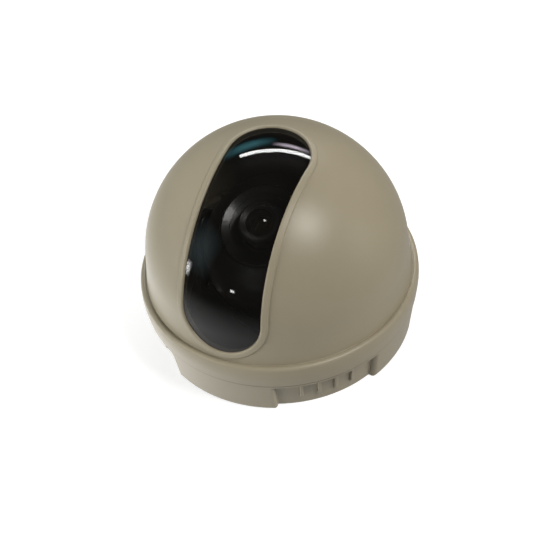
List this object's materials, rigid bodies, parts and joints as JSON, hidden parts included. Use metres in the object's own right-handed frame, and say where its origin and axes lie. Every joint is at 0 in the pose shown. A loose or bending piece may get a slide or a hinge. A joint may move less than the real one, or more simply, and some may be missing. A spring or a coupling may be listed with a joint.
{
  "type": "dome security camera",
  "caption": "Dome security camera: round base with ribbed finger grips, turning dome cover with a smoked slot window, and a camera ball inside that pans, tilts and rolls.",
  "frame": {"origin": "centre of the flat underside of the base, the face that goes against the ceiling", "axes": "+Z from the mounting face to the top of the dome; -Y is where the slot window faces at rest; +X is to the right seen from the window"},
  "size_m": [0.1064, 0.1064, 0.0864],
  "materials": {
    "beige_plastic": "satin moulded",
    "smoked_plastic": "glossy smoked",
    "black_plastic": "satin moulded",
    "black_rubber": "matte",
    "steel": "zinc plated",
    "green_board": "solder mask",
    "chip_black": "matte",
    "filter_glass": "coated",
    "brass": "machined",
    "can_metal": "drawn can",
    "white_plastic": "moulded",
    "black_metal": "black anodised",
    "clear_glass": "coated optical glass"
  },
  "bodies": {
    "base": {"mounting_base": "beige_plastic", "cable_grommet": "black_rubber", "pan_retaining_ring": "black_plastic", "pan_ring_screws": "steel"},
    "cover": {"dome_cover": "beige_plastic", "smoked_window": "smoked_plastic"},
    "pan_turret": {"pan_table": "black_plastic", "tilt_arm_left": "black_plastic", "tilt_arm_right": "black_plastic", "arm_screws": "steel"},
    "camera_ball": {"ball_front": "black_plastic", "ball_rear": "black_plastic", "ball_screws": "steel", "disc_retaining_ring": "black_plastic", "tilt_washers": "steel", "tilt_screws": "steel"},
    "lens_carrier": {"lens_disc": "black_plastic", "disc_screws": "steel", "sensor_board": "green_board", "image_sensor": "chip_black", "infrared_filter": "filter_glass", "lens_holder": "chip_black", "holder_screws": "steel", "main_board": "green_board", "board_spacers": "brass", "board_screws": "steel", "processor": "chip_black", "capacitors": "can_metal", "cable_socket": "white_plastic", "board_header": "chip_black"},
    "lens": {"lens_barrel": "black_metal", "lens_front_glass": "clear_glass", "lens_rear_glass": "clear_glass", "glass_ring": "black_metal", "lens_lock_ring": "black_metal"}
  },
  "joints": [
    {"name": "cover_turn", "type": "hinge", "parent": "base", "child": "cover", "pos_m": [0, 0, 0.02], "axis": [0, 0, 1], "continuous": true},
    {"name": "pan", "type": "hinge", "parent": "base", "child": "pan_turret", "pos_m": [0, 0, 0.006], "axis": [0, 0, 1], "range_deg": [-173, 173]},
    {"name": "tilt", "type": "hinge", "parent": "pan_turret", "child": "camera_ball", "pos_m": [0, 0, 0.0364], "axis": [1, 0, 0], "range_deg": [-25, 50]},
    {"name": "lens_roll", "type": "hinge", "parent": "camera_ball", "child": "lens_carrier", "pos_m": [0, 0, 0.0364], "axis": [0, -0.4226, 0.9063], "range_deg": [-90, 90]},
    {"name": "focus", "type": "hinge", "parent": "lens_carrier", "child": "lens", "pos_m": [0, 0, 0.0364], "axis": [0, -0.4226, 0.9063], "range_deg": [-180, 180]}
  ]
}
